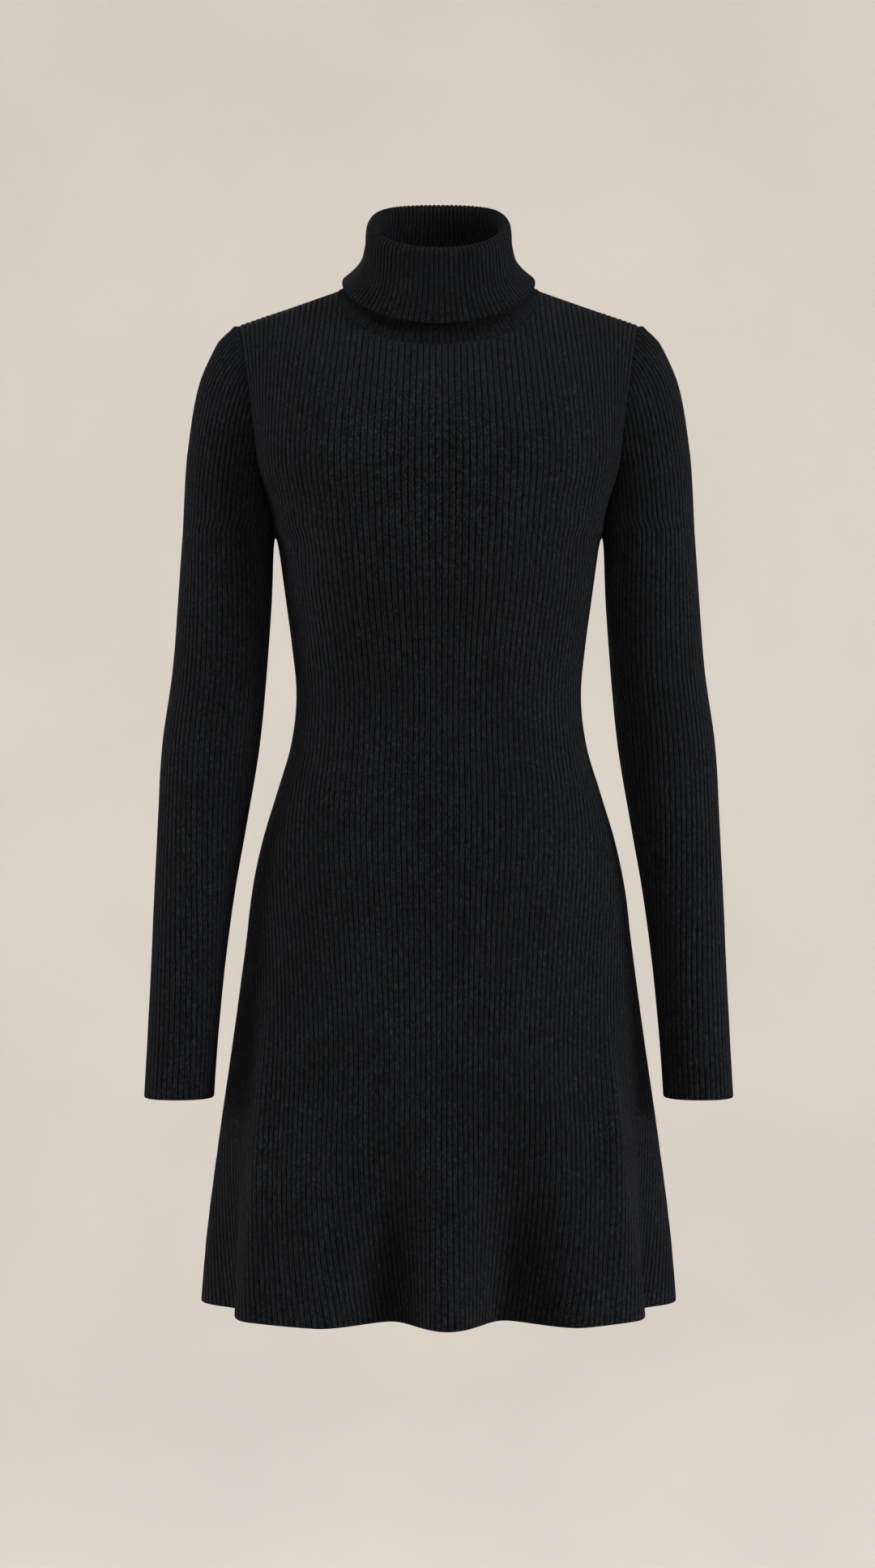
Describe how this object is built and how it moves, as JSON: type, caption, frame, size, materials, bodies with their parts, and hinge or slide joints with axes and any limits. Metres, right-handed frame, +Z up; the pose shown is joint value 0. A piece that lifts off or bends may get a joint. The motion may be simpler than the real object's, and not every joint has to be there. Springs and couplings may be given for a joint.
{
  "type": "long-sleeved rib-knit sweater dress",
  "caption": "Fitted ribbed knit dress with a folded roll collar, long sleeves and a flared above-knee skirt, hollow in its worn shape.",
  "frame": {"origin": "in the middle of the neck opening, level with the tops of the shoulder seams, where the wearer's shoulders hold the dress up", "axes": "+Z up, -Y the way the front faces, +X towards the viewer's right as the front is looked at"},
  "size_m": [0.4954, 0.2935, 0.9432],
  "materials": {
    "rib_knit": "matte, slightly fuzzy charcoal rib knit"
  },
  "bodies": {
    "root": {"front": "rib_knit", "back": "rib_knit", "sleeve_right": "rib_knit", "sleeve_left": "rib_knit", "collar": "rib_knit"}
  },
  "joints": []
}
